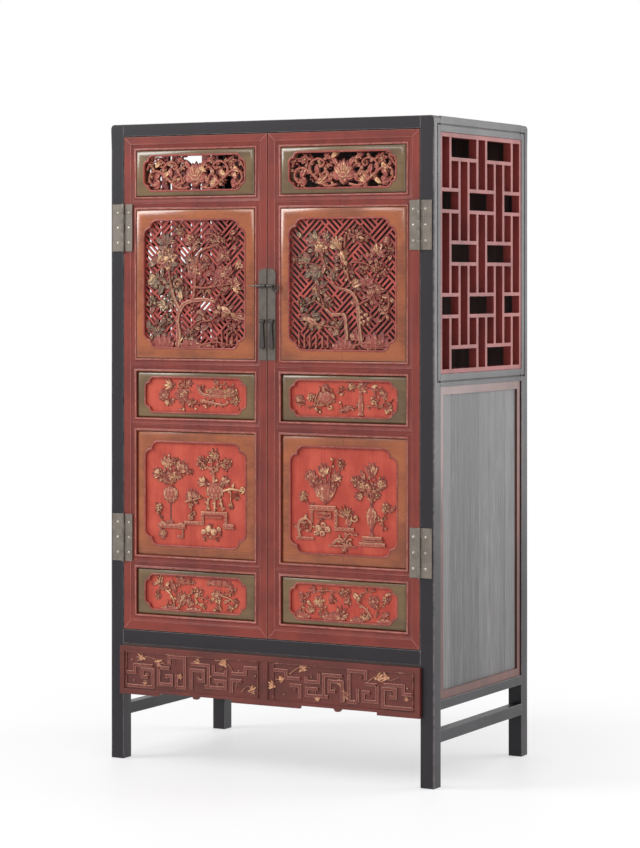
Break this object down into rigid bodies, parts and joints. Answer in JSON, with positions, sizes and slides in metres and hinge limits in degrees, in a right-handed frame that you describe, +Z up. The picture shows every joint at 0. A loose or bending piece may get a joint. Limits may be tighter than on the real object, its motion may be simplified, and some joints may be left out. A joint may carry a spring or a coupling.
{
  "type": "wedding cabinet",
  "caption": "Tall lacquered cabinet on square posts with two framed panel doors, carved openwork, latticed upper sides, plain lower sides and a carved apron.",
  "frame": {"origin": "on the floor, under the middle of the whole cabinet with its apron", "axes": "+Z up, the doors face -Y, +X to the right as seen from the front"},
  "size_m": [1.012, 0.612, 1.78],
  "materials": {
    "black_lacquer": "worn satin black lacquer",
    "red_lacquer": "worn brownish red lacquer",
    "lattice_lacquer": "worn red lacquer",
    "orange_lacquer": "glossy amber lacquer",
    "olive_lacquer": "olive brown lacquer",
    "vermilion_ground": "matt vermilion paint",
    "gilded_carving": "worn gilding over red paint",
    "apron_lacquer": "dark red lacquer",
    "side_board_lacquer": "thin grey black lacquer over grain",
    "bare_wood": "oiled bare wood",
    "dark_brass": "dark patinated brass",
    "nail_brass": "rubbed domed nails"
  },
  "bodies": {
    "root": {"apron": "apron_lacquer", "apron_batten": "bare_wood", "back_boards": "bare_wood", "door_stops": "bare_wood", "floor_board": "bare_wood", "front_lower_rail": "black_lacquer", "front_top_rail": "black_lacquer", "hinge_pins": "dark_brass", "left_front_post": "black_lacquer", "left_lattice": "lattice_lacquer", "left_lower_rail": "black_lacquer", "left_middle_rail": "black_lacquer", "left_rear_post": "black_lacquer", "left_side_board": "side_board_lacquer", "left_stretcher": "black_lacquer", "left_top_rail": "black_lacquer", "post_hinge_leaves": "dark_brass", "post_hinge_nails": "nail_brass", "rear_lower_rail": "black_lacquer", "rear_middle_rail": "black_lacquer", "rear_top_rail": "black_lacquer", "right_front_post": "black_lacquer", "right_lattice": "lattice_lacquer", "right_lower_rail": "black_lacquer", "right_middle_rail": "black_lacquer", "right_rear_post": "black_lacquer", "right_side_board": "side_board_lacquer", "right_stretcher": "black_lacquer", "right_top_rail": "black_lacquer", "shelf_and_floor_bearers": "bare_wood", "shelf_board": "bare_wood", "side_mouldings": "red_lacquer", "top_board": "bare_wood"},
    "left_door": {"left_door_hinge_leaves": "dark_brass", "left_door_hinge_nails": "nail_brass", "left_door_rails": "red_lacquer", "left_foot_panel": "olive_lacquer", "left_head_panel": "olive_lacquer", "left_hinge_stile": "red_lacquer", "left_lock_fittings": "dark_brass", "left_lock_plate": "dark_brass", "left_lower_panel": "orange_lacquer", "left_meeting_stile": "red_lacquer", "left_upper_panel": "orange_lacquer", "left_waist_panel": "olive_lacquer"},
    "right_door": {"right_door_hinge_leaves": "dark_brass", "right_door_hinge_nails": "nail_brass", "right_door_rails": "red_lacquer", "right_foot_panel": "olive_lacquer", "right_head_panel": "olive_lacquer", "right_hinge_stile": "red_lacquer", "right_lock_fittings": "dark_brass", "right_lock_plate": "dark_brass", "right_lower_panel": "orange_lacquer", "right_meeting_stile": "red_lacquer", "right_upper_panel": "orange_lacquer", "right_waist_panel": "olive_lacquer"},
    "left_pull": {"left_pull": "dark_brass"},
    "right_pull": {"right_pull": "dark_brass"},
    "lock_bolt": {"lock_bolt": "dark_brass"}
  },
  "joints": [
    {"name": "left_door_swing", "type": "hinge", "parent": "root", "child": "left_door", "pos_m": [-0.46375, -0.2986, 1.056], "axis": [0, 0, -1], "range_deg": [0, 170]},
    {"name": "right_door_swing", "type": "hinge", "parent": "root", "child": "right_door", "pos_m": [0.46375, -0.2986, 1.056], "axis": [0, 0, 1], "range_deg": [0, 170]},
    {"name": "left_pull_swing", "type": "hinge", "parent": "left_door", "child": "left_pull", "pos_m": [-0.014, -0.3, 1.232], "axis": [-1, 0, 0], "range_deg": [0, 95]},
    {"name": "right_pull_swing", "type": "hinge", "parent": "right_door", "child": "right_pull", "pos_m": [0.014, -0.3, 1.232], "axis": [-1, 0, 0], "range_deg": [0, 95]},
    {"name": "lock_bolt_slide", "type": "slide", "parent": "left_door", "child": "lock_bolt", "axis": [1, 0, 0], "range_m": [0, 0.012]}
  ]
}
